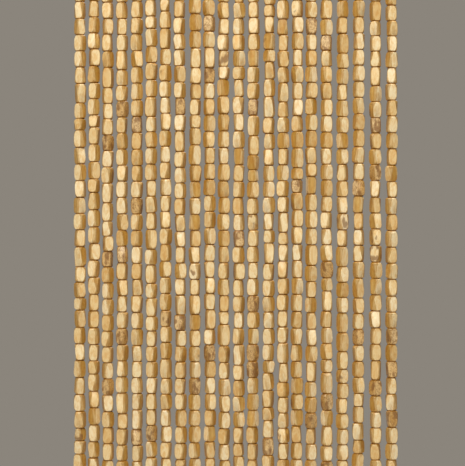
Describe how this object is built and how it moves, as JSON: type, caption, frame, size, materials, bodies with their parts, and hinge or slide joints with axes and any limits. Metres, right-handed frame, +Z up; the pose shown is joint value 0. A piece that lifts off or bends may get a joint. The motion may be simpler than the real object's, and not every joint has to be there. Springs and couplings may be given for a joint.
{
  "type": "bead curtain",
  "caption": "Short hanging bead curtain: strands of hand-cut, squared wooden beads side by side under a slim wooden heading strip.",
  "frame": {"origin": "middle of the heading strip's top edge, where the curtain is held", "axes": "+X along the heading to the right of someone who looks at the front, +Y from the front through the curtain to its back, +Z up, so the strands hang towards -Z"},
  "size_m": [0.328, 0.014, 0.5078],
  "materials": {
    "bead_wood": "hand-cut pale honey wood, lightly polished, satin, with brown knots and streaks",
    "heading_wood": "planed pale honey wood, lightly polished, satin",
    "cord": "twisted brown cord, matt"
  },
  "bodies": {
    "root": {"heading_strip": "heading_wood", "strand_pair_01": "bead_wood", "strand_pair_02": "bead_wood", "strand_pair_03": "bead_wood", "strand_pair_04": "bead_wood", "strand_pair_05": "bead_wood", "strand_pair_06": "bead_wood", "strand_pair_07": "bead_wood", "strand_pair_08": "bead_wood", "strand_pair_09": "bead_wood", "strand_pair_10": "bead_wood", "strand_pair_11": "bead_wood"}
  },
  "joints": []
}
